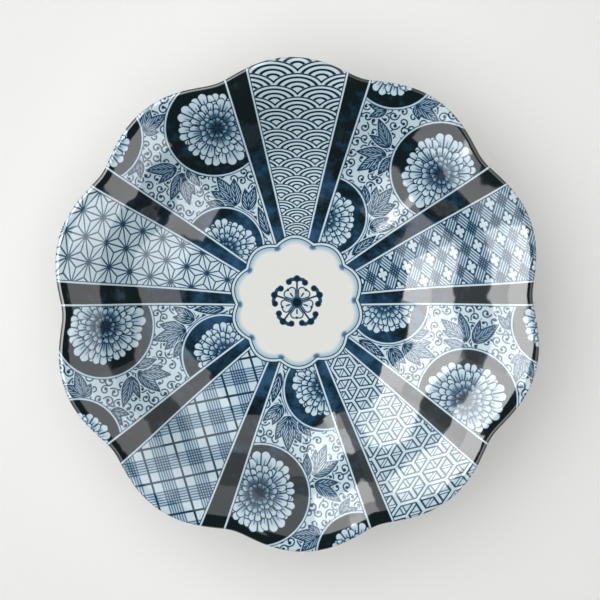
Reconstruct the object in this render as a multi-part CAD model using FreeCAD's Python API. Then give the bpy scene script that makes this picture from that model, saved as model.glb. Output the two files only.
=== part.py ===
import FreeCAD, Part
import math
import os

# Ten-lobed porcelain serving bowl. The body is pressed over a lobed mould, the foot ring is
# luted on under it, and a clear glaze covers all but the edge that the ring rests on.
# Millimetres, +Z up. The origin is the centre of the resting edge of the foot ring.
# A crest of the rim lies on +Y, and a notch of it on +X.

# Rim and floor, seen from above
LOBES = 10
RIM_DIAMETER = 240.0        # over the glaze, across two opposite crests
RIM_NOTCH = 6.0             # how far a notch of the rim comes in from a crest
RIM_SOFTNESS = 0.30         # 0 is a sharp notch, 1 is a gentle wave
FLOOR_DIAMETER = 66.9       # flat floor inside, across two opposite crests
FLOOR_NOTCH = 2.8
FLOOR_SOFTNESS = 0.08

# Wall, seen from the side
DEPTH = 37.5                # from the floor inside up to the lip
WALL_DELAY = 1.35           # above 1, the wall stays flat longer before it rises
WALL_FLARE = 0.87           # 1 flattens the wall out at the lip, less leaves it rising there
FLOOR_THICKNESS = 5.0
LIP_THICKNESS = 3.0
GLAZE = 0.35

# Foot ring
FOOT_HEIGHT = 8.0
FOOT_OUTER_RADIUS = 55.0
FOOT_WALL = 6.4             # where the ring meets the body
FOOT_TAPER = 0.9            # how far each side of the ring comes in on its way down
FOOT_EDGE_ROUND = 1.0
BARE_EDGE = 1.4             # height of the unglazed edge of the ring

# How finely the curves are fitted
STEPS_ROUND_A_LOBE = 20
STEPS_UP_THE_WALL = 18
STEPS_ROUND_THE_LIP = 4     # from the top of the lip to its tip
WALL_SPRINGS_AT = 0.36      # share of the wall's width where its outside leaves the foot's cone

LOBE_ANGLE = 2 * math.pi / LOBES
LIP_RADIUS = LIP_THICKNESS / 2
FLOOR_RADIUS = FLOOR_DIAMETER / 2
WHOLE_RISE = WALL_FLARE - math.sin(2 * math.pi * WALL_FLARE) / (2 * math.pi)


def end_slope(width):
    """Slope of a wall of that width where it meets the lip."""
    turning = 1 - math.cos(2 * math.pi * WALL_FLARE)
    return DEPTH * WALL_DELAY * WALL_FLARE * turning / (WHOLE_RISE * width)


LIP_TILT = math.atan(end_slope(RIM_DIAMETER / 2 - FLOOR_RADIUS))
RIM_RADIUS = RIM_DIAMETER / 2 - GLAZE - LIP_RADIUS * (1 + math.sin(LIP_TILT))
WALL_WIDTH = RIM_RADIUS - FLOOR_RADIUS
FLOOR_Z = FOOT_HEIGHT + FLOOR_THICKNESS
TOP_Z = FLOOR_Z + DEPTH
UP = FreeCAD.Vector(0, 0, 1)
CENTRE = FreeCAD.Vector(0, 0, 0)


def lobed_radius(turn, crest, notch_depth, softness):
    """Radius at an angle from a crest, between the crest's and the notch's."""
    ridge = math.hypot(math.cos(turn * LOBES / 2), softness)
    rise = (ridge - softness) / (math.hypot(1, softness) - softness)
    return crest - notch_depth * (1 - rise)


def lobe_curve(radius_at):
    """A spline over one lobe, from notch to notch with its crest on +Y, at height 0."""
    shares = [i / STEPS_ROUND_A_LOBE for i in range(STEPS_ROUND_A_LOBE + 1)]
    turns = [(share - 0.5) * LOBE_ANGLE for share in shares]
    points = [FreeCAD.Vector(radius_at(a) * math.sin(a), radius_at(a) * math.cos(a), 0) for a in turns]
    curve = Part.BSplineCurve()
    curve.interpolate(Points=points, Parameters=shares)
    return curve


FLOOR_CURVE = lobe_curve(lambda a: lobed_radius(a, FLOOR_RADIUS, FLOOR_NOTCH, FLOOR_SOFTNESS))
RIM_CURVE = lobe_curve(lambda a: lobed_radius(a, RIM_RADIUS, RIM_NOTCH, RIM_SOFTNESS))
UNIT_CURVE = lobe_curve(lambda a: 1.0)


# A station of a profile is (floor, rim, out, z): so much of the floor's outline, plus so much
# of the rim's outline, plus a distance straight out, at height z.

def rise(t):
    """Height of the inside above the floor, and its slope, at a share t of the wall's width."""
    late = WALL_FLARE * t ** WALL_DELAY
    height = DEPTH * (late - math.sin(2 * math.pi * late) / (2 * math.pi)) / WHOLE_RISE
    late_slope = WALL_FLARE * WALL_DELAY * t ** (WALL_DELAY - 1) / WHOLE_RISE
    slope = DEPTH * late_slope * (1 - math.cos(2 * math.pi * late)) / WALL_WIDTH
    return height, slope


def wall_station(t, offset):
    """A place on the wall: a positive offset goes out through the wall, a negative one inwards."""
    height, slope = rise(t)
    tilt = math.atan(slope)
    return (1 - t, t, offset * math.sin(tilt), FLOOR_Z + height - offset * math.cos(tilt))


def lip_station(angle, radius):
    """A place round the lip: 0 is its top, half of pi is its tip and pi is under it."""
    out = LIP_RADIUS * math.sin(LIP_TILT) + radius * math.sin(angle)
    return (0, 1, out, TOP_Z - LIP_RADIUS * math.cos(LIP_TILT) + radius * math.cos(angle))


def lip_stations(start, end, radius):
    """Places round the lip from one angle to another."""
    step = (end - start) / STEPS_ROUND_THE_LIP
    return [lip_station(start + step * i, radius) for i in range(STEPS_ROUND_THE_LIP + 1)]


def inside_profile(coat):
    """From the edge of the floor to the tip of the lip, a coat's thickness above the body."""
    wall = [wall_station(i / STEPS_UP_THE_WALL, -coat) for i in range(STEPS_UP_THE_WALL)]
    return wall + lip_stations(-LIP_TILT, math.pi / 2, LIP_RADIUS + coat)


def outside_profile(coat):
    """From the tip of the lip down to where the wall meets the foot ring."""
    lip = lip_stations(math.pi / 2, math.pi - LIP_TILT, LIP_RADIUS + coat)
    wall = []
    steps = STEPS_UP_THE_WALL
    for i in range(1, steps):
        t = 1 - (1 - WALL_SPRINGS_AT) * i / (steps - 1)
        thickness = FLOOR_THICKNESS + (LIP_THICKNESS - FLOOR_THICKNESS) * t
        wall.append(wall_station(t, thickness + coat))
    foot = foot_corner(coat)
    middle = tuple((a + b) / 2 for a, b in zip(wall[-1], foot))
    return lip + wall + [middle, foot]


def foot_corner(coat):
    """The corner between the wall's outside and the outside of the foot ring."""
    spring_tilt = math.atan(rise(WALL_SPRINGS_AT)[1])
    drop = coat * (1 - math.sin(spring_tilt)) / math.cos(spring_tilt)
    return (0, 0, FOOT_OUTER_RADIUS + coat, FOOT_HEIGHT - drop)


def foot_side(z):
    """Radius of the foot ring's outside at a height."""
    return FOOT_OUTER_RADIUS - FOOT_TAPER * (1 - z / FOOT_HEIGHT)


def fitted_poles(stations):
    """The poles and knots of a spline through the stations, spaced by their distance apart."""
    flat = [(s[0] * FLOOR_RADIUS + s[1] * RIM_RADIUS + s[2], s[3]) for s in stations]
    travel = [0.0]
    for here, there in zip(flat, flat[1:]):
        travel.append(travel[-1] + math.dist(here, there))
    plan = Part.BSplineCurve()
    plan.interpolate(Points=[FreeCAD.Vector(*s[:3]) for s in stations], Parameters=travel)
    height = Part.BSplineCurve()
    height.interpolate(Points=[FreeCAD.Vector(s[3], d, 0) for s, d in zip(stations, travel)],
                       Parameters=travel)
    rows = [(p.x, p.y, p.z, h.x) for p, h in zip(plan.getPoles(), height.getPoles())]
    return rows, plan


def repeated(shape):
    """The same shape at each lobe."""
    return [shape.rotated(CENTRE, UP, math.degrees(LOBE_ANGLE) * k) for k in range(LOBES)]


def skin(stations):
    """The faces, one for each lobe, that a profile sweeps round the bowl."""
    rows, profile = fitted_poles(stations)
    outlines = list(zip(FLOOR_CURVE.getPoles(), RIM_CURVE.getPoles(), UNIT_CURVE.getPoles()))
    poles = []
    for floor, rim, out, z in rows:
        poles.append([f * floor + r * rim + u * out + UP * z for f, r, u in outlines])
    surface = Part.BSplineSurface()
    surface.buildFromPolesMultsKnots(
        poles,
        profile.getMultiplicities(), RIM_CURVE.getMultiplicities(),
        profile.getKnots(), RIM_CURVE.getKnots(),
        False, False,
        profile.Degree, RIM_CURVE.Degree)
    return repeated(surface.toShape())


def disc(curve, scale, z):
    """A flat face inside a lobed or round outline."""
    edge = curve.toShape()
    edge.scale(scale)
    edge.translate(UP * z)
    return Part.Face(Part.Wire(Part.__sortEdges__(repeated(edge))))


def closed_solid(faces):
    """One solid from faces that meet edge to edge."""
    shell = Part.makeShell(faces)
    shell.sewShape()
    solid = Part.makeSolid(shell)
    if solid.Volume < 0:
        solid.reverse()
    return solid


def turned(points):
    """A solid of revolution about the bowl's axis, from its section's corners (radius, z)."""
    corners = [FreeCAD.Vector(radius, 0, z) for radius, z in points]
    section = Part.Face(Part.makePolygon(corners + corners[:1]))
    return section.revolve(CENTRE, UP, 360)


def bowl_body():
    """Floor and lobed wall, in one pressed piece of porcelain."""
    faces = skin(inside_profile(0))
    faces += skin(outside_profile(0))
    faces.append(disc(FLOOR_CURVE, 1, FLOOR_Z))
    faces.append(disc(UNIT_CURVE, FOOT_OUTER_RADIUS, FOOT_HEIGHT))
    return closed_solid(faces)


def foot_ring():
    """Ring under the body, with a rounded, unglazed resting edge."""
    inner = FOOT_OUTER_RADIUS - FOOT_WALL
    ring = turned([
        (FOOT_OUTER_RADIUS, FOOT_HEIGHT),
        (FOOT_OUTER_RADIUS - FOOT_TAPER, 0),
        (inner + FOOT_TAPER, 0),
        (inner, FOOT_HEIGHT)])
    resting = [e for e in ring.Edges if len(e.Vertexes) == 1 and abs(e.CenterOfMass.z) < 1e-6]
    return ring.makeFillet(FOOT_EDGE_ROUND, resting).Solids[0]


def inner_glaze():
    """Clear coat over the painted inside, poured in and run out over the lip."""
    lip_edge = [lip_station(math.pi / 2, LIP_RADIUS), lip_station(math.pi / 2, LIP_RADIUS + GLAZE)]
    faces = skin(inside_profile(0))
    faces += skin(inside_profile(GLAZE))
    faces += skin(lip_edge)
    faces.append(disc(FLOOR_CURVE, 1, FLOOR_Z))
    faces.append(disc(FLOOR_CURVE, 1, FLOOR_Z + GLAZE))
    return closed_solid(faces)


def outer_glaze():
    """Clear coat over the outside, from the lip down to the bare edge of the foot ring."""
    bare = foot_side(BARE_EDGE)
    lip_edge = [lip_station(math.pi / 2, LIP_RADIUS), lip_station(math.pi / 2, LIP_RADIUS + GLAZE)]
    faces = skin(outside_profile(0))
    faces += skin(outside_profile(GLAZE))
    faces += skin(lip_edge)
    faces += skin([foot_corner(0), (0, 0, bare, BARE_EDGE)])
    faces += skin([foot_corner(GLAZE), (0, 0, bare + GLAZE, BARE_EDGE)])
    faces += skin([(0, 0, bare, BARE_EDGE), (0, 0, bare + GLAZE, BARE_EDGE)])
    return closed_solid(faces)


def foot_well_glaze():
    """Clear coat over the underside inside the foot ring, and down the ring's inner side."""
    inner = FOOT_OUTER_RADIUS - FOOT_WALL
    bare = inner + FOOT_TAPER * (1 - BARE_EDGE / FOOT_HEIGHT)
    return turned([
        (0, FOOT_HEIGHT),
        (inner, FOOT_HEIGHT),
        (bare, BARE_EDGE),
        (bare - GLAZE, BARE_EDGE),
        (inner - GLAZE, FOOT_HEIGHT - GLAZE),
        (0, FOOT_HEIGHT - GLAZE)])


PIECES = (bowl_body, foot_ring, inner_glaze, outer_glaze, foot_well_glaze)

os.makedirs("parts", exist_ok=True)
for piece in PIECES:
    shape = piece()
    shape.exportStep("parts/" + piece.__name__ + ".step")
    box = shape.optimalBoundingBox(False)
    print(piece.__name__, shape.ShapeType, "valid" if shape.isValid() else "NOT VALID", len(shape.Faces), "faces",
          round(shape.Volume / 1000, 2), "cm3, z", round(box.ZMin, 3), "to", round(box.ZMax, 3),
          "x", round(box.XLength, 2), "y", round(box.YLength, 2))
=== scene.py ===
import math

import bmesh
import bpy
import numpy as np
from mathutils import Matrix, Vector


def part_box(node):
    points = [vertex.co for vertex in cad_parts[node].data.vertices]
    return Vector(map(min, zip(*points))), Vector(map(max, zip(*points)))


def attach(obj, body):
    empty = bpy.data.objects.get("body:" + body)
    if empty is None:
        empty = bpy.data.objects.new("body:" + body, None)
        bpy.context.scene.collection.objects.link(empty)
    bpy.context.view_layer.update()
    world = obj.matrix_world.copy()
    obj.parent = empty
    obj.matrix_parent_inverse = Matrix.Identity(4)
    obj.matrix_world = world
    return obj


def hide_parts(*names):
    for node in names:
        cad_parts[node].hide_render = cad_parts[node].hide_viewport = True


bl_info = {
    "name": "Lobed porcelain bowl",
    "version": (1, 0, 0),
    "blender": (4, 5, 0),
    "location": "3D View > Sidebar > Bowl",
    "description": "Glazes and paints a ten-lobed porcelain serving bowl",
    "category": "Object",
}

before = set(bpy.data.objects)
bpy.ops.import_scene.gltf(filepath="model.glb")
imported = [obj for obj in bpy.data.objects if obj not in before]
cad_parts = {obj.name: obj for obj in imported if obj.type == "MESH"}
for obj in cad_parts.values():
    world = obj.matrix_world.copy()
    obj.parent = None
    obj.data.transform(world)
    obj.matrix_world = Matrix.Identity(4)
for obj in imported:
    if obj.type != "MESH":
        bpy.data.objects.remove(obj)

MM = 0.001
BODY = "root"

# What the frame says about the bowl, in metres
COAT_LOW, COAT_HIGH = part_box("inner_glaze")
BODY_LOW, BODY_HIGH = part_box("bowl_body")
GLAZE = COAT_HIGH.y - BODY_HIGH.y
BODY_FLOOR = COAT_LOW.z

# The bowl's outlines and wall, which the coats follow
LOBES = 10
LIP_RADIUS = 1.5 * MM
RIM_NOTCH = 6.0 * MM
RIM_SOFTNESS = 0.30
FLOOR_RADIUS = 33.45 * MM
FLOOR_NOTCH = 2.8 * MM
FLOOR_SOFTNESS = 0.08
WALL_DELAY = 1.35
WALL_FLARE = 0.87
WHOLE_RISE = WALL_FLARE - math.sin(2 * math.pi * WALL_FLARE) / (2 * math.pi)
DEPTH = 37.5 * MM
TOP = BODY_FLOOR + DEPTH


def wall_tilt(t, width):
    """How steep the inside wall is."""
    late_slope = WALL_FLARE * WALL_DELAY * t ** (WALL_DELAY - 1) / WHOLE_RISE
    turning = 1 - np.cos(2 * np.pi * WALL_FLARE * t ** WALL_DELAY)
    return np.arctan(DEPTH * late_slope * turning / width)


LIP_TILT = wall_tilt(1.0, COAT_HIGH.y - FLOOR_RADIUS)
RIM_RADIUS = COAT_HIGH.y - GLAZE - LIP_RADIUS * (1 + math.sin(LIP_TILT))
WALL_WIDTH = RIM_RADIUS - FLOOR_RADIUS

# How the painting is laid out. It is turned a little against the lobes, and it was drawn flat,
# so it shrinks as it goes down into the bowl. Flower panels are wider than the patterned ones
# that they take turns with, and a band of cobalt, wider further out, parts each two.
PAINTING_TURN = math.radians(2.0)
SECTOR = math.radians(36.0)
FLOWER_HALF_TURN = math.radians(21.0)
BAND_HALF_WIDTH = 1.18 * MM
BAND_WIDENING = 0.036
SHRINK_LENGTH = 1.1
WHITE_LINE = 0.85 * MM
DARK_LINE = 0.40 * MM


# -------- shader maths

class Recipe:
    """The nodes of one material."""

    def __init__(self, name):
        self.material = bpy.data.materials.new(name)
        self.material.use_nodes = True
        self.tree = self.material.node_tree
        self.paint = bpy.context.scene.bowl_paint
        self.tree.nodes.clear()

    def node(self, kind, settings=None, inputs=None):
        """Adds a node, sets its properties, then sets or links its sockets."""
        made = self.tree.nodes.new(kind)
        for key, value in (settings or {}).items():
            if key == "stops":
                self.set_stops(made.color_ramp, value)
            else:
                setattr(made, key, value)
        for key, value in (inputs or {}).items():
            if isinstance(value, Value):
                self.tree.links.new(value.socket, made.inputs[key])
            else:
                made.inputs[key].default_value = value
        return made

    @staticmethod
    def set_stops(ramp, stops):
        """Gives a colour ramp its places and colours."""
        while len(ramp.elements) < len(stops):
            ramp.elements.new(1.0)
        for element, (position, colour) in zip(ramp.elements, stops):
            element.position = position
            element.color = colour

    def out(self, kind, settings=None, inputs=None, output=0):
        """One output of a new node."""
        return Value(self, self.node(kind, settings, inputs).outputs[output])

    def maths(self, operation, *terms):
        return self.out("ShaderNodeMath", {"operation": operation}, dict(enumerate(terms)))

    def mix(self, share, first, second):
        """One colour going over into another."""
        return self.out("ShaderNodeMix", {"data_type": "RGBA"}, {0: share, 6: first, 7: second}, 2)

    def noise(self, place, size, detail=2.0, roughness=0.5):
        """Soft blotches of about that size, from 0 to 1."""
        return self.out("ShaderNodeTexNoise", None, {
            "Vector": place, "Scale": 1 / size, "Detail": detail, "Roughness": roughness})

    def object_place(self):
        """The place on the object, as a vector and as its three numbers."""
        place = self.out("ShaderNodeTexCoord", output="Object")
        parts = self.node("ShaderNodeSeparateXYZ", inputs={0: place})
        return place, [Value(self, parts.outputs[axis]) for axis in range(3)]

    def cobalt(self):
        """How much cobalt was painted on the piece."""
        return self.out("ShaderNodeAttribute", {"attribute_name": "cobalt"}, output="Fac")

    def finish(self, shader):
        self.node("ShaderNodeOutputMaterial", inputs={"Surface": shader})
        return self.material


class Value:
    """A number that varies over a surface. Arithmetic on it adds Math nodes."""

    def __init__(self, recipe, socket):
        self.recipe = recipe
        self.socket = socket

    def maths(self, operation, *others):
        return self.recipe.maths(operation, self, *others)

    def __add__(self, other):
        return self.maths("ADD", other)

    __radd__ = __add__

    def __mul__(self, other):
        return self.maths("MULTIPLY", other)

    __rmul__ = __mul__

    def __sub__(self, other):
        return self.maths("SUBTRACT", other)

    def __rsub__(self, other):
        return self.recipe.maths("SUBTRACT", other, self)

    def __truediv__(self, other):
        return self.maths("DIVIDE", other)

    def __neg__(self):
        return self.maths("MULTIPLY", -1.0)

    def __abs__(self):
        return self.maths("ABSOLUTE")

    def low(self, other):
        return self.maths("MINIMUM", other)

    def high(self, other):
        return self.maths("MAXIMUM", other)

    def rounded(self):
        return self.maths("ROUND")

    def root(self):
        return self.maths("SQRT")

    def over(self, edge, soft):
        """0 well under the edge, 1 well over it, smooth between."""
        return self.recipe.out(
            "ShaderNodeMapRange", {"interpolation_type": "SMOOTHSTEP"},
            {"Value": self, "From Min": edge - soft, "From Max": edge + soft})

    def under(self, edge, soft):
        return 1 - self.over(edge, soft)


def pick(mask, where_one, where_zero):
    """One value where the mask is 1, another where it is 0."""
    return where_zero + mask * (where_one - where_zero)


def nearest(value, step, start=0.0):
    """How far a value is from the nearest of evenly spaced places."""
    scaled = (value - start) / step
    return (scaled - scaled.rounded()) * step


def length(x, y):
    return (x * x + y * y).root()


def turned(x, y, turn):
    """A place across and out along a ray that lies a turn clockwise from +Y."""
    cosine, sine = math.cos(turn), math.sin(turn)
    return x * cosine - y * sine, x * sine + y * cosine


# -------- painted patterns
# Each takes a place on the drawing in millimetres, u across the panel and v out from the centre,
# and gives how much cobalt lies there, from 0 to 1.

LINE_SOFT = 0.10


def wave_pattern(u, v):
    """Overlapping waves: fans of arcs in rows that grow as they go out."""
    growth = 0.070
    squash = 1.36
    spread = 1.2
    apex = 57.06
    first_row = 95.86
    pitch = 0.0355
    ring_gap = 0.25
    rings = 3
    s = v + apex
    row = (s / first_row).maths("LOGARITHM", math.e) / pitch
    front = row.maths("CEIL")
    odd = front - (front * 0.5).maths("FLOOR") * 2
    across = u / (s * growth)
    size = s * growth

    def fan(rows_behind, parity):
        over_row = ((row - front - rows_behind) * pitch).maths("EXPONENT")
        x = nearest(across - parity, 2.0) / spread
        y = 1 + (over_row - 1) / growth * squash
        return length(x, y)

    near = fan(0, odd)
    far = fan(1, 1 - odd)
    distance = pick(near.under(1.0, 0.006), near, far)
    ring = (1 - distance) / ring_gap
    off_line = abs(ring - ring.rounded().low(rings).high(0)) * ring_gap * size
    width = pick(distance.over(0.88, 0.02), 0.080, 0.054) * size
    return (off_line - width).under(0.0, LINE_SOFT) * 0.96


def hemp_leaf_pattern(u, v):
    """Hemp leaf stars: a lattice of triangles with lines from each centre to its corners."""
    row_gap = 10.3
    start = 35.4
    column = u / (6.11 + 0.052 * v)
    slanted = (v - start) / row_gap - column * 0.5
    f = slanted - slanted.maths("FLOOR")
    g = column - column.maths("FLOOR")
    upper = (f + g).over(1.0, 0.0005)
    first = pick(upper, 1 - f, f)
    second = pick(upper, 1 - g, g)
    third = 1 - first - second
    least = first.low(second).low(third)
    most = first.high(second).high(third)
    middle = 1 - least - most
    height = 8.9
    off_edge = least * height
    off_spoke = (middle - least) * height * 0.55
    star = most.over(0.93, 0.05)
    ink = off_edge.low(off_spoke)
    line = ink.under(0.27, 0.16) * 0.80
    return line.high(star * ink.under(0.6, 0.5) * 0.8)


def flower_diamond_pattern(u, v):
    """Small flowers in diamonds, with bands of fine lines crossing between them."""
    half_across = 8.97
    half_along = 5.99
    start = 43.65
    x = u / half_across
    y = (v - start) / half_along
    a = abs(nearest((x + y) * 0.5, 1.0))
    b = abs(nearest((x - y) * 0.5, 1.0))
    cell = 0.255
    pitch = 0.120
    reach = 2.04 * pitch
    in_a = a.under(cell, 0.008)
    in_b = b.under(cell, 0.008)

    def bundle(off, inside):
        from_middle = abs(off - 0.5)
        line = abs(nearest(from_middle, pitch)).under(0.034, 0.020)
        return line * from_middle.under(reach, 0.004) * (1 - inside)

    crossing = (1 - in_a) * (1 - in_b)
    lines = bundle(a, in_a).high(bundle(b, in_b)) * (0.62 + 0.14 * crossing)
    wash = crossing * 0.24 + (1 - crossing) * 0.04
    corner_petals = length(a - 0.112, b - 0.112)
    flower = corner_petals.under(0.100, 0.015).high((a + b).under(0.13, 0.02))
    tip = a.high(b).over(cell - 0.035, 0.012)
    field = pick(flower, 0.0, 0.93).high(tip * 0.8)
    return pick(in_a * in_b, field, (lines + wash).low(0.8))


def tortoise_pattern(u, v):
    """Tortoiseshell: white-barred hexagons, each with a bold and a fine three-way star inside."""
    row_gap = 9.36
    start = 38.8
    width = 7.42 + 0.087 * v
    root3 = math.sqrt(3)
    slope = root3 / 2
    x = u / width * root3
    y = (v - start) / row_gap * 1.5
    ax = nearest(x, root3)
    ay = nearest(y, 3.0)
    bx = nearest(x, root3, slope)
    by = nearest(y, 3.0, 1.5)
    second = (bx * bx + by * by - ax * ax - ay * ay).over(0.0, 0.0005)
    dx = abs(pick(second, ax, bx))
    dy = pick(second, ay, by)
    off_wall = slope - dx.high(dx * 0.5 + abs(dy) * slope)
    far = 9.0
    soft = 0.024

    def off_star(up):
        """How far off the nearest arm of a three-way star, one of whose arms points up."""
        upright = dx + up.under(-0.02, 0.01) * far
        slanting = abs(up * slope + dx * 0.5) + (dx * slope - up * 0.5).under(0.0, 0.01) * far
        return upright.low(slanting)

    bold = off_star(dy)
    fine = off_star(-dy)
    ink = pick(fine.under(0.030, soft), 0.0, 0.04)

    def barred(under, off, bar, rim):
        """A white bar between two lines, over what lies under it."""
        line = abs(off - bar - rim / 2).under(rim / 2, soft) * 0.85
        return pick(off.under(bar + rim / 2, soft), line, under.high(line))

    ink = barred(ink, fine, 0.060, 0.055)
    ink = barred(ink, bold, 0.085, 0.095)
    return barred(ink, off_wall, 0.090, 0.095)


def plaid_pattern(u, v):
    """Plaid: single dark lines and bundles of fine lines, crossing on the slant."""
    fine = 6

    def family(slope, start, gap):
        place = (v - slope * u - start) / gap
        off = abs(nearest(place, 1.0))
        across = gap / math.hypot(1, slope)
        single = (off * across).under(0.52, LINE_SOFT * 1.4)
        bundle = off.over(0.27, 0.006)
        pitch = (1 - 2 * 0.27) / fine
        lines = abs(nearest(off - 0.5, pitch, pitch / 2)).under(0.24 * pitch, 0.18 * pitch)
        return single, bundle * lines, bundle

    single_a, lines_a, bundle_a = family(1.05, 56.3, 24.2)
    single_b, lines_b, bundle_b = family(-0.76, 56.7, 19.9)
    both = bundle_a * bundle_b
    tint = bundle_a.high(bundle_b) * 0.15 + both * 0.12
    lines = lines_a.high(lines_b) * (0.62 + 0.14 * both)
    return tint.high(lines).high(single_a.high(single_b) * 0.86)


# -------- painted scenes
# The flower panels and the floor's rosette are drawn stroke over stroke, in millimetres.


class Drawing:
    """Cobalt laid on a set of places, each stroke over the ones before."""

    def __init__(self, u, v):
        self.u = u
        self.v = v
        self.ink = np.zeros_like(u)

    def lay(self, mask, ink):
        self.ink = self.ink * (1 - mask) + ink * mask

    def near(self, u, v, reach):
        """The places within reach of a point, so that a small stroke touches only those."""
        return np.nonzero((abs(self.u - u) < reach) & (abs(self.v - v) < reach))[0]

    def part(self, places):
        piece = Drawing(self.u[places], self.v[places])
        piece.ink = self.ink[places]
        return piece


SOFT = 0.13


def inside(distance, soft=SOFT):
    """1 where a signed distance is below zero, 0 above, smooth between."""
    share = np.clip(0.5 - distance / (2 * soft), 0, 1)
    return share * share * (3 - 2 * share)


def path_distance(u, v, points):
    """Distance to a run of straight pieces."""
    best = np.full_like(u, 1e3)
    for (pu, pv), (qu, qv) in zip(points, points[1:]):
        du, dv = qu - pu, qv - pv
        share = np.clip(((u - pu) * du + (v - pv) * dv) / (du * du + dv * dv), 0, 1)
        best = np.minimum(best, np.hypot(u - pu - share * du, v - pv - share * dv))
    return best


def scatter(row, column, kind):
    """A settled number from 0 to 1 that looks random."""
    return (math.sin(row * 12.9898 + column * 78.233 + kind * 37.719) * 43758.5453) % 1


def curl(drawing, u, v, radius, start, hand):
    """A tendril that winds in to a ball end."""
    turns = 1.05
    steps = 14
    places = drawing.near(u, v, radius * 1.8)
    if not len(places):
        return
    part = drawing.part(places)
    line = []
    for i in range(steps + 1):
        share = i / steps
        angle = start + hand * share * turns * 2 * math.pi
        reach = radius * (1.45 - 1.05 * share ** 0.55)
        line.append((u + reach * math.cos(angle), v + reach * math.sin(angle)))
    off = path_distance(part.u, part.v, line)
    ball_u, ball_v = line[-1]
    ball = np.hypot(part.u - ball_u, part.v - ball_v) - radius * 0.38
    part.lay(np.maximum(inside(off - 0.30), inside(ball)), 0.92)
    drawing.ink[places] = part.ink


def tendrils(drawing):
    """Curls all over the ground of a panel."""
    rows, row_gap, start_row = 22, 4.35, 32
    columns, gap = 15, 5.25
    stray = 1.7
    for row in range(rows):
        for column in range(columns):
            step = column - columns // 2 + 0.5 * (row % 2)
            u = step * gap + (scatter(row, column, 0) - 0.5) * stray
            v = start_row + row * row_gap + (scatter(row, column, 1) - 0.5) * stray
            radius = 1.75 + 0.60 * scatter(row, column, 2)
            start = 2 * math.pi * scatter(row, column, 3)
            hand = 1 if scatter(row, column, 4) > 0.5 else -1
            curl(drawing, u, v, radius, start, hand)


def stem(drawing, points, width):
    """A white stem between two fine outlines."""
    off = path_distance(drawing.u, drawing.v, points)
    drawing.lay(inside(off - width - 0.26), 0.84)
    drawing.lay(inside(off - width + 0.12), 0.0)


def leaf(drawing, base, blades):
    """A leaf of one to three pointed blades: outline, wash, midribs and slanting veins."""
    whole = np.full_like(drawing.u, 1e3)
    fill = np.zeros_like(drawing.u)
    for tip, width in blades:
        du, dv = tip[0] - base[0], tip[1] - base[1]
        long = math.hypot(du, dv)
        along = ((drawing.u - base[0]) * du + (drawing.v - base[1]) * dv) / long
        across = ((drawing.u - base[0]) * -dv + (drawing.v - base[1]) * du) / long
        share = np.clip(along / long, 0, 1)
        edge = width * np.sin(np.pi * share ** 0.80) ** 0.85 * (1 - 0.20 * share)
        off = np.maximum(abs(across) - edge, np.maximum(-along, along - long)) * 0.9
        vein_gap = 0.98
        place = (abs(across) - along * 0.40) / vein_gap
        vein = inside(abs(place - np.round(place)) * vein_gap - 0.25)
        tone = 0.10 + 0.14 * (1 - share) + 0.66 * vein
        tone = np.maximum(tone, 0.88 * inside(abs(across) - 0.26))
        fill = np.where(off < whole, tone, fill)
        whole = np.minimum(whole, off)
    drawing.lay(inside(whole - 0.75), 0.0)
    drawing.lay(inside(whole - 0.30), 0.90)
    drawing.lay(inside(whole + 0.32), fill)


def petal(drawing, base, direction, long, spread, lobes, lines, tone):
    """One scalloped, finely lined petal; tone is the wash at its tip and at its base."""
    reach = long * 1.15
    middle = (base[0] + math.cos(direction) * long / 2, base[1] + math.sin(direction) * long / 2)
    places = drawing.near(middle[0], middle[1], reach)
    if not len(places):
        return
    part = drawing.part(places)
    du, dv = part.u - base[0], part.v - base[1]
    out = np.hypot(du, dv)
    turn = np.arctan2(dv, du) - direction
    turn = (turn + np.pi) % (2 * np.pi) - np.pi
    slant = turn / spread
    scallop = (slant + 1) * lobes / 2
    finger = abs(np.sin(np.pi * scallop))
    crown = long * (1 - 0.24 * np.clip(abs(slant), 0, 1.3) ** 2.2)
    edge = crown * (1 - 0.30 / lobes ** 0.5 + 0.30 / lobes ** 0.5 * finger ** 0.6)
    off = np.maximum(out - edge, (abs(slant) - 1) * spread * np.maximum(out, 0.3))
    part.lay(inside(off - 0.34), 0.97)
    share = out / crown
    wash = tone[1] + (tone[0] - tone[1]) * np.clip((share - 0.25) / 0.6, 0, 1) ** 1.1
    notch = abs(scallop - np.rint(scallop)) * 2 * spread / lobes * out
    notch_line = inside(notch - 0.31) * np.clip((share - 0.20) * 5, 0, 1)
    hatch = (slant + 1) * lines / 2
    hatch = abs(hatch - np.rint(hatch)) * 2 * spread / lines * out
    hatch_line = inside(hatch - 0.20) * np.clip((0.80 - share) * 9, 0, 1)
    fill = np.maximum(wash, 0.94 * notch_line)
    fill = np.maximum(fill, np.clip(wash + 0.55, 0, 0.92) * hatch_line)
    part.lay(inside(off + 0.12), fill)
    drawing.ink[places] = part.ink


# Rings of petals from the outside in: where they start and how long they are, as shares of the
# flower's radius, how many, how far each spreads in degrees, how many scallops and fine lines
# each, and the wash at tip and base
PEONY_RINGS = (
    (0.30, 0.70, 10, 42, 4, 8, (0.00, 0.44)),
    (0.20, 0.55, 8, 46, 4, 8, (0.04, 0.54)),
    (0.08, 0.42, 6, 50, 4, 12, (0.20, 0.62)),
    (0.00, 0.28, 5, 46, 3, 9, (0.34, 0.76)),
)


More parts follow.
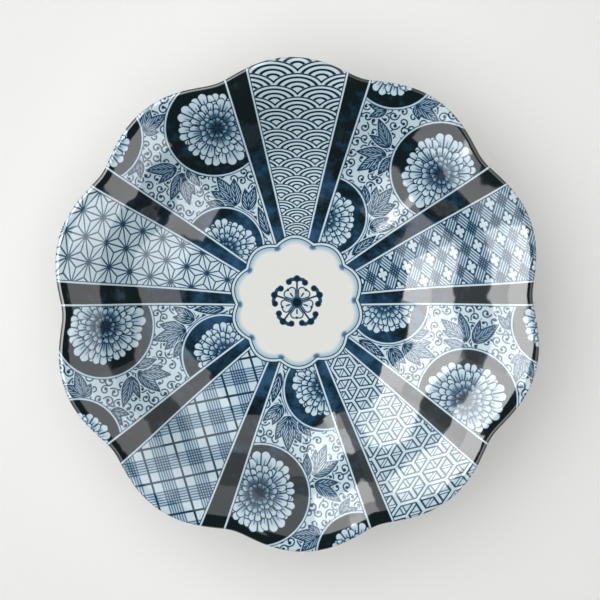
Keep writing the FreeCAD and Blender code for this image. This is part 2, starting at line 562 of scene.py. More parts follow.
def peony(drawing, u, v, radius, turn):
    """A full peony: rings of petals, the inner ones lying over the outer ones."""
    for ring, (start, long, count, degrees, lobes, lines, tone) in enumerate(PEONY_RINGS):
        for k in range(count):
            sway = math.sin(7.3 * k + 2.1 * ring)
            angle = turn + 2 * math.pi * (k + 0.5 * (ring % 2) + 0.10 * sway) / count
            base = (u + radius * start * math.cos(angle), v + radius * start * math.sin(angle))
            size = radius * long * (1 + 0.10 * math.sin(4.7 * k + ring))
            spread = math.radians(degrees + 4 * sway)
            petal(drawing, base, angle, size, spread, lobes, lines, tone)
    heart = np.hypot(drawing.u - u, drawing.v - v)
    drawing.lay(inside(heart - radius * 0.05), 0.88)


def roundel(drawing, u, v, radius, flower_u, flower_v, flower_radius, turn):
    """A dark disc with a white ring round it and a peony inside."""
    off = np.hypot(drawing.u - u, drawing.v - v) - radius
    ring_half = 0.42
    ring_line = 0.34
    drawing.lay(inside(off - ring_half - ring_line), 0.86)
    drawing.lay(inside(off - ring_half), 0.02)
    drawing.lay(inside(off + ring_half), 1.0)
    disc = np.nonzero(off < -ring_half)[0]
    part = drawing.part(disc)
    peony(part, flower_u, flower_v, flower_radius, turn)
    held = inside(off[disc] + ring_half)
    drawing.ink[disc] = drawing.ink[disc] * (1 - held) + part.ink * held


LEAVES = (
    # base, then the tip and the half-width of each blade
    ((-8.7, 87.3), (((-19.6, 86.6), 2.0), ((-20.9, 95.5), 2.9))),
    ((-8.2, 83.6), (((-19.8, 76.4), 2.9), ((-9.0, 71.4), 2.6), ((-14.0, 69.0), 3.2))),
    ((-4.8, 83.6), (((-4.8, 73.3), 2.3), ((3.8, 75.2), 2.6))),
    ((3.9, 55.4), (((-1.7, 67.6), 3.2), ((10.4, 66.2), 3.2), ((4.4, 71.7), 3.4))),
    ((7.3, 50.0), (((16.4, 57.2), 2.6), ((11.8, 59.0), 2.5))),
    ((-1.0, 58.2), (((-12.6, 62.3), 1.8), ((-6.8, 64.8), 2.2))),
    ((-10.2, 111.8), (((-5.4, 107.0), 2.3), ((2.8, 111.9), 3.0), ((-2.0, 119.2), 3.0))),
    ((-20.6, 101.2), (((-29.0, 98.6), 1.9), ((-25.2, 94.0), 2.0))),
    ((8.2, 34.5), (((11.8, 48.0), 2.4),)),
)

STEMS = (
    (((-4.9, 87.2), (-7.2, 84.6), (-6.6, 78.6), (-6.2, 71.8)), 0.75),
    (((-4.4, 65.6), (0.0, 60.8), (3.6, 54.0), (6.6, 47.0), (7.6, 40.0)), 0.70),
    (((3.6, 57.5), (4.2, 61.0)), 0.40),
)


def flower_scene(u, v):
    """A flower panel: peony roundels over leaves, stems and tendrils."""
    drawing = Drawing(u, v)
    tendrils(drawing)
    for points, width in STEMS:
        stem(drawing, points, width)
    for base, blades in LEAVES:
        leaf(drawing, base, blades)
    roundel(drawing, -30.1, 121.3, 20.9, -30.0, 122.0, 15.6, 0.3)
    roundel(drawing, -13.1, 42.2, 19.4, -13.2, 40.4, 15.9, 1.1)
    roundel(drawing, 18.4, 92.6, 24.3, 18.6, 91.6, 18.9, 0.2)
    return drawing.ink


def rosette(u, v):
    """The floor's flower: five heart-shaped petals with a curled bud between each two."""
    drawing = Drawing(u, v)
    petals = LOBES // 2
    for k in range(petals):
        across, out = turned(u, v, 2 * SECTOR * k + PAINTING_TURN)
        arm = ((-3.8, 10.0), (-3.0, 11.0), (-1.4, 11.2), (1.4, 11.2), (3.0, 10.9), (3.8, 9.6))
        drawing.lay(inside(path_distance(across, out, arm) - 0.85), 0.74)
        drawing.lay(inside(path_distance(across, out, ((0, 2), (0, 10.8))) - 0.40), 0.86)
        for ball_across, ball_out, size in ((-3.9, 9.9, 1.40), (0, 11.5, 1.55), (3.9, 9.5, 1.40)):
            ball = np.hypot(across - ball_across, out - ball_out) - size
            drawing.lay(inside(ball, 0.3), 0.95)
    for k in range(petals):
        across, out = turned(u, v, SECTOR * (2 * k + 1) + PAINTING_TURN)
        low, high, lean = 2.1, 5.85, 1.25
        long = math.hypot(lean, high - low)
        share = np.clip((abs(across) * lean + (out - low) * (high - low)) / long ** 2, 0, 1)
        off = np.hypot(abs(across) - lean * share, out - low - (high - low) * share)
        off = off - 0.35 - 1.40 * share
        drawing.lay(inside(off - 0.26), 0.88)
        drawing.lay(inside(off + 0.26), 0.03)
        drawing.lay(inside(path_distance(across, out, ((0, 3.6), (0, 5.3))) - 0.34), 0.86)
        drawing.lay(inside(np.hypot(across, out - 7.5) - 0.55), 0.86)
    heart = np.hypot(u, v)
    drawing.lay(inside(heart - 2.9), 0.66)
    drawing.lay(inside(heart - 2.1, 0.5), 1.0)
    return drawing.ink


# -------- the bowl's surface

WALL_SPRINGS_AT = 0.36
FLOOR_THICKNESS = 5.0 * MM
LIP_THICKNESS = 3.0 * MM
FOOT_HEIGHT = BODY_LOW.z
FOOT_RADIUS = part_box("foot_ring")[1].x
FOOT_WALL = 6.4 * MM
FOOT_TAPER = 0.9 * MM
FOOT_EDGE_ROUND = 1.0 * MM
BARE_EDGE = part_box("foot_well_glaze")[0].z
SHARP_CORNER = math.radians(40)
TOUCHING = 1e-7
ON_AXIS = 1e-9


def outline(turn, crest, notch, softness):
    """The radius of a scalloped outline, at a turn clockwise from the crest on +Y."""
    ridge = np.hypot(np.cos(turn * LOBES / 2), softness)
    rise = (ridge - softness) / (math.hypot(1, softness) - softness)
    return crest - notch * (1 - rise)


def wall(t, offset):
    """A place on the wall's section: its share of the floor's and of the rim's outline, how far
    out from there, and its height. t is 0 at the floor and 1 at the rim, offset is outwards."""
    late = WALL_FLARE * t ** WALL_DELAY
    height = DEPTH * (late - np.sin(2 * np.pi * late) / (2 * np.pi)) / WHOLE_RISE
    tilt = wall_tilt(t, WALL_WIDTH)
    return np.stack((1 - t, t, offset * np.sin(tilt), BODY_FLOOR + height - offset * np.cos(tilt)))


def thickness(t):
    """How thick the wall is. t is as in wall."""
    return FLOOR_THICKNESS + (LIP_THICKNESS - FLOOR_THICKNESS) * t


def section(s, lift):
    """A place on a coat's section, lift above the body. s runs from -1 at the middle of the floor
    to 0 at its edge, 1 at the top of the wall, 2 under the lip, 3 where the wall springs outside,
    4 at the foot and 5 at the foot's bare edge."""
    s = np.asarray(s, float)
    lift = np.broadcast_to(lift, s.shape)
    nothing = np.zeros_like(s)
    share = np.clip(s + 1, 0, 1)
    floor = np.stack((share, nothing, nothing, BODY_FLOOR + lift))
    inner = wall(np.clip(s, 0, 1), -lift)
    angle = np.clip(s - 1, 0, 1) * np.pi - LIP_TILT
    radius = LIP_RADIUS + lift
    lip = np.stack((nothing, nothing + 1, LIP_RADIUS * math.sin(LIP_TILT) + radius * np.sin(angle),
                    TOP - LIP_RADIUS * math.cos(LIP_TILT) + radius * np.cos(angle)))
    down = 1 - np.clip(s - 2, 0, 1) * (1 - WALL_SPRINGS_AT)
    outer = wall(down, thickness(down) + lift)
    spring = wall(nothing + WALL_SPRINGS_AT, thickness(WALL_SPRINGS_AT) + lift)
    tilt = wall_tilt(WALL_SPRINGS_AT, WALL_WIDTH)
    drop = lift * (1 - math.sin(tilt)) / math.cos(tilt)
    corner = np.stack((nothing, nothing, FOOT_RADIUS + lift, FOOT_HEIGHT - drop))
    under = spring + (corner - spring) * np.clip(s - 3, 0, 1)
    side_z = FOOT_HEIGHT - np.clip(s - 4, 0, 1) * (FOOT_HEIGHT - BARE_EDGE)
    side = np.stack((nothing, nothing,
                     FOOT_RADIUS - FOOT_TAPER * (1 - side_z / FOOT_HEIGHT) + lift, side_z))
    return np.select([s < 0, s < 1, s < 2, s < 3, s < 4], [floor, inner, lip, outer, under], side)


def coat_places(turn, s, lift):
    """Points of the coat, at a turn clockwise from +Y."""
    floor_share, rim_share, out, z = section(s, lift)
    radius = (floor_share * outline(turn, FLOOR_RADIUS, FLOOR_NOTCH, FLOOR_SOFTNESS)
              + rim_share * outline(turn, RIM_RADIUS, RIM_NOTCH, RIM_SOFTNESS) + out)
    return np.stack((radius * np.sin(turn), radius * np.cos(turn), z), axis=-1)


def even_steps(start, end, count):
    """Values of s from start to end that are evenly spaced along the section."""
    fine = np.linspace(start, end, 2001)
    run = coat_places(np.zeros_like(fine), fine, GLAZE)
    gone = np.concatenate(([0], np.cumsum(np.linalg.norm(np.diff(run, axis=0), axis=1))))
    return np.interp(np.linspace(0, gone[-1], count + 1), gone, fine)


def drawing_place(places):
    """Where points of the bowl lie on the flat drawing, in millimetres."""
    shrink = 1 + (TOP - places[:, 2]) / SHRINK_LENGTH
    return places[:, 0] / shrink / MM, places[:, 1] / shrink / MM


def coat_piece(name, turns, top, under, paint=None):
    """A closed coat of glaze: a grid whose columns are the turns and whose rows go along the top
    face and back under it. paint gives the cobalt at places on the flat drawing."""
    rows = np.concatenate((top, under, top[:1]))
    lifts = np.concatenate((np.full(len(top), GLAZE), np.zeros(len(under)), [GLAZE]))
    bm = bmesh.new()
    bmesh.ops.create_grid(bm, x_segments=len(turns) - 1, y_segments=len(rows) - 1, size=1)
    flat = np.array([vert.co for vert in bm.verts])
    column = np.rint((flat[:, 0] + 1) / 2 * (len(turns) - 1)).astype(int)
    row = np.rint((flat[:, 1] + 1) / 2 * (len(rows) - 1)).astype(int)
    places = coat_places(turns[column], rows[row], lifts[row])
    for vert, place in zip(bm.verts, places):
        vert.co = place
    if paint is not None:
        layer = bm.verts.layers.float.new("cobalt")
        for vert, ink in zip(bm.verts, paint(*drawing_place(places))):
            vert[layer] = ink
    edge = (row == 0) | (row == len(rows) - 1) | (column == 0) | (column == len(turns) - 1)
    edge |= np.hypot(places[:, 0], places[:, 1]) < ON_AXIS
    loose = [vert for vert, on_edge in zip(bm.verts, edge) if on_edge]
    bmesh.ops.remove_doubles(bm, verts=loose, dist=TOUCHING)
    rims = [e for e in bm.edges if e.is_boundary]
    if rims:
        ends = bmesh.ops.holes_fill(bm, edges=rims, sides=0)["faces"]
        bmesh.ops.triangulate(bm, faces=ends)
    return finished(bm, name)


def linked(name, data):
    """A new object in the scene."""
    made = bpy.data.objects.new(name, data)
    bpy.context.scene.collection.objects.link(made)
    return made


def mesh_object(bm, name):
    """An object from a bmesh, which it frees."""
    mesh = bpy.data.meshes.new(name)
    bm.to_mesh(mesh)
    bm.free()
    return linked(name, mesh)


def finished(bm, name):
    """A piece from a closed bmesh, smooth but for its sharp corners."""
    bmesh.ops.recalc_face_normals(bm, faces=bm.faces)
    for face in bm.faces:
        face.smooth = True
    for edge in bm.edges:
        edge.smooth = edge.calc_face_angle(0) < SHARP_CORNER
    return mesh_object(bm, name)


def spun_piece(name, corners, rounded, radius, segments):
    """A ring or disc. corners are radius and height, and those in rounded are rounded first."""
    bm = bmesh.new()
    verts = [bm.verts.new((r, 0, z)) for r, z in corners]
    bm.faces.new(verts)
    bmesh.ops.bevel(bm, geom=[verts[i] for i in rounded], affect="VERTICES", offset=radius,
                    segments=5, profile=0.5, material=-1)
    bmesh.ops.delete(bm, geom=bm.faces[:], context="FACES_ONLY")
    on_axis = [e for e in bm.edges if all(abs(v.co.x) < ON_AXIS for v in e.verts)]
    bmesh.ops.delete(bm, geom=on_axis, context="EDGES")
    bmesh.ops.spin(bm, geom=bm.verts[:] + bm.edges[:], cent=(0, 0, 0), axis=(0, 0, 1),
                   angle=2 * math.pi, steps=segments, use_merge=True)
    bmesh.ops.remove_doubles(bm, verts=bm.verts[:], dist=TOUCHING)
    return finished(bm, name)


# -------- finishes

def shade(red, green, blue):
    """A colour mixed on a screen, from 0 to 255, as light."""
    def light(level):
        level = level / 255
        return level / 12.92 if level <= 0.04045 else ((level + 0.055) / 1.055) ** 2.4
    return (light(red), light(green), light(blue), 1.0)


def uneven(recipe, colour, roughness, height, depth, strength):
    """A finish of one colour and roughness over a bumpy surface."""
    normal = recipe.out("ShaderNodeBump", None, {
        "Height": height, "Distance": depth, "Strength": strength})
    shader = recipe.out("ShaderNodeBsdfPrincipled", None, {
        "Base Color": colour, "Roughness": roughness, "IOR": 1.5, "Normal": normal})
    return recipe.finish(shader)


def glaze_over(recipe, place, colour):
    """Glossy glaze over a colour, a little uneven, as a fired glaze is."""
    ripple = recipe.noise(place, recipe.paint.ripple_size, detail=1.0)
    return uneven(recipe, colour, recipe.paint.gloss, ripple, recipe.paint.ripple_depth, 1.0)


def cobalt_over(recipe, ink, ground, pale_at):
    """The colour of cobalt of a given strength over its ground, under the glaze."""
    stops = ((0.0, ground), (pale_at, recipe.paint.pale), (0.45, recipe.paint.middle),
             (0.75, recipe.paint.dark), (1.0, recipe.paint.darkest))
    return recipe.out("ShaderNodeValToRGB", {"stops": stops}, {0: ink.low(1).high(0)})


def mottled_wash(recipe, place, reach):
    """The dark ground of the bands and roundels: blue low in the bowl, black near the rim."""
    cloud = recipe.noise(place, 11 * MM, detail=4.0, roughness=0.62)
    speck = recipe.noise(place, 3.0 * MM, detail=2.0)
    outward = (reach - 28) / 80
    depth = (outward * 0.75 + (cloud - 0.5) * 2.6 + (speck - 0.5) * 0.5 + 0.25).low(1).high(0)
    stops = ((0.0, recipe.paint.wash), (0.4, recipe.paint.wash_dark), (0.75, recipe.paint.wash_black))
    return recipe.out("ShaderNodeValToRGB", {"stops": stops}, {0: depth})


def floor_distance(recipe, x, y):
    """How far outside the floor's edge a place is, in millimetres, and its angle."""
    angle = recipe.maths("ARCTAN2", x, y)
    ridge = length((angle * (LOBES / 2)).maths("COSINE"), FLOOR_SOFTNESS)
    rise = (ridge - FLOOR_SOFTNESS) / (math.hypot(1, FLOOR_SOFTNESS) - FLOOR_SOFTNESS)
    edge = (FLOOR_RADIUS - FLOOR_NOTCH * (1 - rise)) / MM
    return length(x, y) / MM - edge, angle


def painted_panel(name, number, pattern=None):
    """A panel's glaze: a pattern between two dark bands, each with a white and a dark line."""
    recipe = Recipe(name)
    place, (x, y, z) = recipe.object_place()
    middle, half_turn = between_bands(number)
    shrink = (1 + (TOP - z) / SHRINK_LENGTH) * MM
    across, out = turned(x, y, middle)
    u, v = across / shrink, out / shrink
    reach = length(u, v)
    clear = (v * math.sin(half_turn) - abs(u) * math.cos(half_turn)
             - (reach * BAND_WIDENING + BAND_HALF_WIDTH / MM))
    soft = 0.10
    white = WHITE_LINE / MM
    line = DARK_LINE / MM
    ground = clear.under(0.0, soft)
    if pattern is None:
        ink = recipe.cobalt()
        ground = ground.high(ink.over(0.94, 0.02) * clear.over(white + line, soft))
    else:
        ink = pattern(u, v)
    ink = pick(clear.over(white + line, soft), ink, clear.over(white, soft) * 0.82)
    beyond, _ = floor_distance(recipe, x, y)
    edge_line = beyond.under(0.60, soft)
    # The ground under each panel's pattern is that darkened white, which carries painted shade for
    # the walls.
    colour = cobalt_over(recipe, ink, recipe.paint.white, 0.15)
    colour = recipe.mix(ground, colour, mottled_wash(recipe, place, reach))
    colour = recipe.mix(edge_line, colour, recipe.paint.wash_dark)
    return glaze_over(recipe, place, colour)


def painted_floor(name):
    """The floor's glaze: a rosette in the middle, and a line and a soft wash round the edge."""
    recipe = Recipe(name)
    place, (x, y, _) = recipe.object_place()
    ink = recipe.cobalt()
    beyond, angle = floor_distance(recipe, x, y)
    into = -beyond
    soft = 0.12
    line = into.over(1.15, soft) * into.under(1.70, soft) * 0.84
    wash = into.over(1.70, soft) * (1 - (into - 1.70) / 2.8).high(0) * 0.17
    aside = nearest(angle, SECTOR, SECTOR / 2)
    from_axis = length(x, y) / MM
    dot = length(from_axis * aside.maths("SINE") * 0.72, from_axis * aside.maths("COSINE") - 28.6)
    dots = dot.under(1.15, 0.75) * into.over(1.2, 0.3) * 0.56
    ink = ink.high(line).high(wash).high(dots)
    colour = cobalt_over(recipe, ink, recipe.paint.cream, 0.12)
    # The white line round the floor takes the same darkened ground colour, painted shade included.
    colour = recipe.mix(into.under(1.15, soft), colour, recipe.paint.white)
    return glaze_over(recipe, place, colour)


def lined_outside(name):
    """The outside's glaze: white, with one line under the rim and two round the foot."""
    recipe = Recipe(name)
    place, (x, y, z) = recipe.object_place()
    wobble = (recipe.noise(place, 25 * MM) - 0.5) * 0.5
    height = z / MM + wobble
    strength = recipe.noise(place, 6 * MM, detail=3.0) * 0.5 + 0.5

    def line(middle, width):
        return abs(height - middle).under(width / 2, 0.12)

    outside = length(x, y).over(FOOT_RADIUS - 1.2 * MM, 0.1 * MM)
    lines = line(TOP / MM - 6.5, 0.9).high(line(6.6, 1.0)).high(line(3.6, 0.6)) * outside
    colour = recipe.mix(lines * strength, recipe.paint.outside, recipe.paint.dark)
    return glaze_over(recipe, place, colour)


def bare_clay(name):
    """Unglazed porcelain: dry, faintly speckled, and darker in blotches towards the bottom, where it
    stands.
    """
    recipe = Recipe(name)
    place, (_, _, z) = recipe.object_place()
    grain = recipe.noise(place, 0.6 * MM, detail=3.0)
    # Darker in blotches towards the bottom of the foot, over its lowest millimetre.
    darker_low = (z / MM).under(0.9, 0.6) * recipe.noise(place, 5 * MM, detail=3.0)
    speck = recipe.noise(place, 0.9 * MM, detail=1.0).over(0.72, 0.03)
    stain = (darker_low * 0.35 + speck * 0.5 + grain * 0.15).low(1)
    colour = recipe.mix(stain, recipe.paint.clay, recipe.paint.clay_dark)
    return uneven(recipe, colour, 0.7, grain, 0.04 * MM, 0.7)


def pale_paper(name, colour):
    """The studio floor: matte, very faintly uneven."""
    recipe = Recipe(name)
    place, _ = recipe.object_place()
    cloud = recipe.noise(place, 0.35, detail=2.0)
    darker = tuple(level * 0.96 for level in colour[:3]) + (1.0,)
    shader = recipe.out("ShaderNodeBsdfPrincipled", None, {
        "Base Color": recipe.mix(cloud, colour, darker), "Roughness": 0.85, "IOR": 1.3})
    return recipe.finish(shader)


# -------- settings

def colour_setting(name, description, *levels):
    return bpy.props.FloatVectorProperty(name=name, description=description, default=shade(*levels),
                                         size=4, subtype="COLOR", min=0.0, max=1.0)


def setting(name, description, default, **kind):
    return bpy.props.FloatProperty(name=name, description=description, default=default, **kind)


def length_setting(name, description, default):
    return setting(name, description, default, min=0.0, subtype="DISTANCE", unit="LENGTH",
                   precision=5)


class BowlPaint(bpy.types.PropertyGroup):
    """Colours and gloss of the bowl."""

    # The ground is the glaze's own faintly bluish white, made a little darker as painted shade for
    # the dimmer light on the bowl's walls.
    white: colour_setting("Ground", "Painted porcelain where there is no cobalt", 206, 225, 233)
    pale: colour_setting("Pale cobalt", "Thin cobalt", 181, 206, 221)
    middle: colour_setting("Middle cobalt", "Cobalt wash", 94, 133, 163)
    dark: colour_setting("Dark cobalt", "Cobalt lines", 36, 72, 97)
    darkest: colour_setting("Darkest cobalt", "The thickest cobalt", 9, 32, 43)
    wash: colour_setting("Band, light", "Where the bands' wash is thin", 44, 84, 116)
    wash_dark: colour_setting("Band, dark", "Most of the bands low in the bowl", 20, 54, 75)
    wash_black: colour_setting("Band, black", "Where the bands' wash is thick", 7, 24, 27)
    cream: colour_setting("Floor", "The bowl's floor round the rosette", 238, 238, 232)
    outside: colour_setting("Outside", "The bowl's outside", 228, 231, 230)
    clay: colour_setting("Bare clay", "The foot's unglazed edge", 222, 214, 200)
    # The dark clay colours the specks and the blotches towards the bottom of the foot.
    clay_dark: colour_setting("Worn clay", "Specks and wear on the foot", 150, 136, 118)
    gloss: setting("Gloss", "Roughness of the glaze", 0.07, min=0.0, max=1.0, subtype="FACTOR")
    ripple_size: length_setting("Ripple size", "Width of the glaze's soft ripples", 8 * MM)
    ripple_depth: length_setting("Ripple depth", "Height of the glaze's soft ripples", 0.10 * MM)


class BowlMesh(bpy.types.PropertyGroup):
    """How fine the pieces are."""

    flower_spacing: length_setting("Flower spacing", "Mesh spacing on the flower panels", 0.30 * MM)
    plain_spacing: length_setting("Plain spacing", "Mesh spacing on the patterned panels", 0.60 * MM)
    floor_spacing: length_setting("Floor spacing", "Mesh spacing round the rosette", 0.20 * MM)


class BowlStudio(bpy.types.PropertyGroup):
    """The floor, the camera and the lights."""

    floor_colour: colour_setting("Studio floor", "Colour of the paper under the bowl", 246, 246, 244)
    camera_height: length_setting("Camera distance", "Camera to the rim's plane", 1.1)
    camera_lens: setting("Lens", "Focal length", 136.6, min=1.0, unit="CAMERA")
    camera_back: setting("Camera lean", "How far the camera leans to the top of the view",
                         math.radians(2.35), subtype="ANGLE")
    camera_side: setting("Camera side lean", "How far the camera leans to the left",
                         math.radians(0.55), subtype="ANGLE")
    key: setting("Key", "Power of the soft key light", 5.0, min=0.0, unit="POWER")
    fill: setting("Fill", "Power of the overhead fill", 62.0, min=0.0, unit="POWER")
    room: setting("Room", "Brightness of the mirrored room", 1.0, min=0.0, subtype="FACTOR")


# -------- pieces

UNDER_ROWS = 14
LIP_TIP = 1.5 + LIP_TILT / math.pi

PATTERN_PANELS = (
    ("wave_panel", wave_pattern),
    ("flower_diamond_panel", flower_diamond_pattern),
    ("tortoiseshell_panel", tortoise_pattern),
    ("plaid_panel", plaid_pattern),
    ("hemp_leaf_panel", hemp_leaf_pattern),
)


def between_bands(number):
    """The middle of a panel and half its width, as turns. The odd panels hold flowers."""
    half_turn = FLOWER_HALF_TURN if number % 2 else SECTOR - FLOWER_HALF_TURN
    return SECTOR * number + PAINTING_TURN, half_turn


def placed(piece, material, slot, *nodes):
    """Gives a piece its finish, hangs it on the body and hides the CAD nodes that it stands for."""
    piece.data.materials.clear()
    piece.data.materials.append(material)
    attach(piece, BODY)
    if nodes:
        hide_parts(*nodes)


def panel_piece(name, number, spacing, paint=None):
    """One panel of the inside glaze, from the floor's edge to the tip of the lip."""
    middle, half_turn = between_bands(number)
    columns = round(2 * half_turn * RIM_RADIUS / spacing)
    turns = np.linspace(middle - half_turn, middle + half_turn, columns + 1)
    rows = round(WALL_WIDTH * 1.2 / spacing)
    top = even_steps(0.0, LIP_TIP, rows)
    under = even_steps(0.0, LIP_TIP, UNDER_ROWS)[::-1]
    along_panel = paint and (lambda x, y: paint(*turned(x, y, middle)))
    return coat_piece(name, turns, top, under, along_panel)


class BOWL_OT_floor(bpy.types.Operator):
    """Makes the glaze of the bowl's floor, with its painted rosette"""

    bl_idname = "bowl.floor"
    bl_label = "Floor and rosette"

    def execute(self, context):
        spacing = context.scene.bowl_mesh.floor_spacing
        painted = 15 * MM
        columns = round(2 * math.pi * painted / spacing / LOBES) * LOBES
        turns = np.linspace(0, 2 * math.pi, columns + 1)
        middle = np.linspace(0, painted, round(painted / spacing) + 1)
        edge = np.linspace(painted, FLOOR_RADIUS, 14)[1:]
        top = np.concatenate((middle, edge)) / FLOOR_RADIUS - 1
        piece = coat_piece("floor_rosette", turns, top, np.array([0.0, -0.5, -1.0]), rosette)
        placed(piece, painted_floor("rosette glaze"), "painted_glaze", "inner_glaze")
        return {"FINISHED"}


class BOWL_OT_patterns(bpy.types.Operator):
    """Makes the five panels with geometric patterns"""

    bl_idname = "bowl.patterns"
    bl_label = "Patterned panels"

    def execute(self, context):
        spacing = context.scene.bowl_mesh.plain_spacing
        for number, (name, pattern) in enumerate(PATTERN_PANELS):
            piece = panel_piece(name, 2 * number, spacing)
            material = painted_panel(name + " glaze", 2 * number, pattern)
            placed(piece, material, "painted_glaze", "inner_glaze")
        return {"FINISHED"}


class BOWL_OT_flowers(bpy.types.Operator):
    """Makes the five panels with peonies"""

    bl_idname = "bowl.flowers"
    bl_label = "Flower panels"

    def execute(self, context):
        spacing = context.scene.bowl_mesh.flower_spacing
        for number in range(1, LOBES // 2 + 1):
            name = f"flower_panel_{number}"
            piece = panel_piece(name, 2 * number - 1, spacing, flower_scene)
            material = painted_panel(name + " glaze", 2 * number - 1)
            placed(piece, material, "painted_glaze", "inner_glaze")
        return {"FINISHED"}


class BOWL_OT_outside(bpy.types.Operator):
    """Makes the glaze of the bowl's outside"""

    bl_idname = "bowl.outside"
    bl_label = "Outside glaze"

    def execute(self, context):
        turns = np.linspace(0, 2 * math.pi, 64 * LOBES + 1)
        stops = ((LIP_TIP, 2.0, 6), (2.0, 3.0, 44), (3.0, 4.0, 8), (4.0, 5.0, 6))
        top = np.concatenate([even_steps(*stop)[:-1] for stop in stops] + [[5.0]])
        under = np.concatenate((np.linspace(5, 3, 3), np.linspace(3, LIP_TIP, 24)[1:]))
        piece = coat_piece("outside_glaze", turns, top, under)
        placed(piece, lined_outside("outside glaze"), "clear_glaze", "outer_glaze")
        return {"FINISHED"}


class BOWL_OT_foot(bpy.types.Operator):
    """Makes the foot ring and the glaze inside it"""

    bl_idname = "bowl.foot"
    bl_label = "Foot"

    def execute(self, context):
        inner = FOOT_RADIUS - FOOT_WALL
        inner_low = inner + FOOT_TAPER
        outer_low = FOOT_RADIUS - FOOT_TAPER
        corners = ((FOOT_RADIUS, FOOT_HEIGHT), (outer_low, 0.0), (inner_low, 0.0),
                   (inner, FOOT_HEIGHT))
        ring = spun_piece("foot_ring_turned", corners, (1, 2), FOOT_EDGE_ROUND, 360)
        placed(ring, bare_clay("bare clay"), "bare_porcelain", "foot_ring")
        edge = inner + (inner_low - inner) * (1 - BARE_EDGE / FOOT_HEIGHT)
        corners = ((0.0, FOOT_HEIGHT), (inner, FOOT_HEIGHT), (edge, BARE_EDGE),
                   (edge - GLAZE, BARE_EDGE), (inner - GLAZE, FOOT_HEIGHT - GLAZE),
                   (0.0, FOOT_HEIGHT - GLAZE))
        well = spun_piece("foot_well_coat", corners, (4,), 1.2 * MM, 360)
        placed(well, lined_outside("foot well glaze"), "clear_glaze", "foot_well_glaze")
        return {"FINISHED"}


class BOWL_OT_body(bpy.types.Operator):
    """Gives the porcelain under the glaze its finish"""

    bl_idname = "bowl.body"
    bl_label = "Porcelain body"

    def execute(self, context):
        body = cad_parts["bowl_body"]
        body.data.materials.clear()
        body.data.materials.append(bare_clay("porcelain body"))
        return {"FINISHED"}


# -------- studio

def area_light(name, middle, aim, size, power):
    """A soft light that faces a point and isn't mirrored in the glaze. size is width and height."""
    light = bpy.data.lights.new(name, "AREA")
    light.shape = "RECTANGLE"
    light.size, light.size_y = size
    light.energy = power
    holder = linked(name, light)
    holder.location = middle
    holder.rotation_euler = (Vector(aim) - Vector(middle)).to_track_quat("-Z", "Y").to_euler()
    holder.visible_camera = False
    holder.visible_glossy = False


def view_place(right, up, height):
    """A place right and up across the camera's view, and its height over the floor."""
    return Vector((*turned(right, up, -PAINTING_TURN), height))


# What the glaze mirrors: windows on the left, pale walls round the rest. Each has its directions
# clockwise from the top of the view, its lowest and highest elevation, and how bright it is.
ROOM = (
    (214, 243, 15, 79, 3.3), (243, 290, 40, 78, 12.4), (243, 290, 15, 40, 9.2),
    (290, 325, 15, 68, 10.2), (325, 350, 42, 64, 5.4), (325, 350, 15, 42, 9.0),
    (350, 396, 15, 64, 2.0), (36, 75, 15, 73, 2.9), (75, 108, 15, 68, 2.6),
    (108, 142, 15, 69, 4.5),
    (243, 290, 0, 15, 0.8), (290, 325, 0, 15, 1.4), (325, 350, 0, 15, 0.6),
    (350, 396, 0, 15, 0.9), (36, 75, 0, 15, 0.9),
)
ROOM_RADIUS = 1.2


def room_pane(name, brightness, start, end, low, high, strength):
    """One pane of the room round the bowl. Only the glaze shows it."""
    steps = 8
    bm = bmesh.new()
    bmesh.ops.create_grid(bm, x_segments=steps, y_segments=steps, size=0.5)
    for vert in bm.verts:
        turn = math.radians(start + (end - start) * (vert.co.x + 0.5))
        rise = math.radians(low + (high - low) * (vert.co.y + 0.5))
        flat = ROOM_RADIUS * math.cos(rise)
        vert.co = view_place(flat * math.sin(turn), flat * math.cos(turn),
                             ROOM_RADIUS * math.sin(rise) + BODY_FLOOR)
    pane = mesh_object(bm, name)
    recipe = Recipe(name + " light")
    shader = recipe.out("ShaderNodeEmission", None, {"Strength": strength * brightness})
    pane.data.materials.append(recipe.finish(shader))
    pane.visible_camera = False
    pane.visible_diffuse = False
    pane.visible_shadow = False


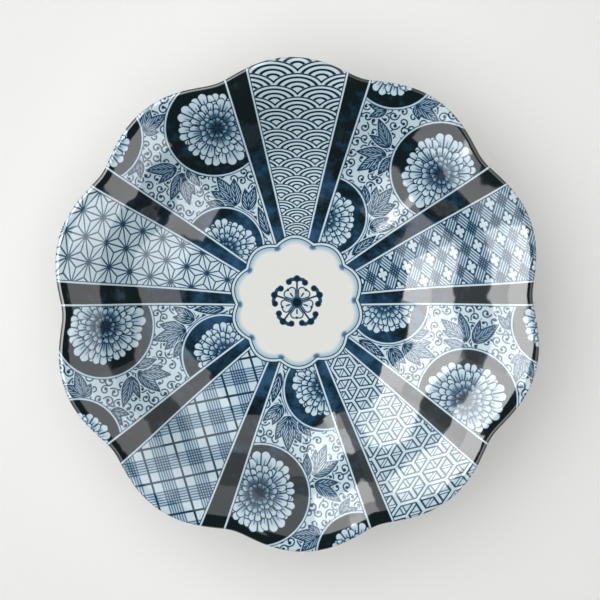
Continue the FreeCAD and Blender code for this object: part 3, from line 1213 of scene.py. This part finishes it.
class BOWL_OT_studio(bpy.types.Operator):
    """Makes the studio floor, the lights and the camera"""

    bl_idname = "bowl.studio"
    bl_label = "Studio"

    def execute(self, context):
        scene = context.scene
        studio = scene.bowl_studio
        self.lay_floor(studio)
        self.hang_lights(studio)
        self.set_camera(scene, studio)
        scene.view_settings.view_transform = "Standard"
        return {"FINISHED"}

    @staticmethod
    def lay_floor(studio):
        bm = bmesh.new()
        bmesh.ops.create_grid(bm, x_segments=4, y_segments=4, size=3.0)
        floor = mesh_object(bm, "studio_floor")
        floor.data.materials.append(pale_paper("studio paper", tuple(studio.floor_colour)))

    @staticmethod
    def hang_lights(studio):
        bowl = (0.0, 0.0, 0.04)
        area_light("key", view_place(-1.0, 0.7, 1.0), bowl, (2.2, 2.0), studio.key)
        area_light("fill", view_place(-0.40, 0.1, 2.2), bowl, (3.6, 3.6), studio.fill)
        for number, pane in enumerate(ROOM):
            room_pane(f"pane_{number + 1}", studio.room, *pane)
        world = bpy.data.worlds.new("studio")
        world.use_nodes = True
        sky = world.node_tree.nodes["Background"]
        sky.inputs["Color"].default_value = (1.0, 1.0, 1.0, 1.0)
        sky.inputs["Strength"].default_value = 0.12
        bpy.context.scene.world = world

    @staticmethod
    def set_camera(scene, studio):
        aim = view_place(1.16 * MM, 2.70 * MM, TOP)
        far = studio.camera_height
        side = -math.tan(studio.camera_side) * far
        back = math.tan(studio.camera_back) * far
        eye = aim + view_place(side, back, far)
        camera = bpy.data.cameras.new("camera")
        camera.lens = studio.camera_lens
        camera.sensor_width = 36.0
        holder = linked("camera", camera)
        towards = (eye - aim).normalized()
        up = view_place(0.0, 1.0, 0.0)
        right = up.cross(towards).normalized()
        up = towards.cross(right)
        turn = Matrix((right, up, towards)).transposed().to_4x4()
        holder.matrix_world = Matrix.Translation(eye) @ turn
        scene.camera = holder


# -------- add-on

OPERATORS = (BOWL_OT_studio, BOWL_OT_body, BOWL_OT_floor, BOWL_OT_patterns, BOWL_OT_flowers,
             BOWL_OT_outside, BOWL_OT_foot)
SETTINGS = (("bowl_paint", BowlPaint), ("bowl_mesh", BowlMesh), ("bowl_studio", BowlStudio))


class BOWL_PT_sidebar(bpy.types.Panel):
    """Lists the bowl's settings and pieces"""

    bl_idname = "BOWL_PT_sidebar"
    bl_label = "Lobed bowl"
    bl_space_type = "VIEW_3D"
    bl_region_type = "UI"
    bl_category = "Bowl"

    def draw(self, context):
        for attribute, kind in SETTINGS:
            group = getattr(context.scene, attribute)
            box = self.layout.box()
            for setting in kind.__annotations__:
                box.prop(group, setting)
        for operator in OPERATORS:
            self.layout.operator(operator.bl_idname)


def register():
    for attribute, kind in SETTINGS:
        bpy.utils.register_class(kind)
        setattr(bpy.types.Scene, attribute, bpy.props.PointerProperty(type=kind))
    for operator in OPERATORS:
        bpy.utils.register_class(operator)
    bpy.utils.register_class(BOWL_PT_sidebar)


def unregister():
    bpy.utils.unregister_class(BOWL_PT_sidebar)
    for operator in reversed(OPERATORS):
        bpy.utils.unregister_class(operator)
    for attribute, kind in reversed(SETTINGS):
        delattr(bpy.types.Scene, attribute)
        bpy.utils.unregister_class(kind)


def main():
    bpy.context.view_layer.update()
    register()
    bpy.ops.bowl.studio()
    bpy.ops.bowl.body()
    bpy.ops.bowl.floor()
    bpy.ops.bowl.patterns()
    bpy.ops.bowl.flowers()
    bpy.ops.bowl.outside()
    bpy.ops.bowl.foot()


if __name__ == "__main__":
    main()
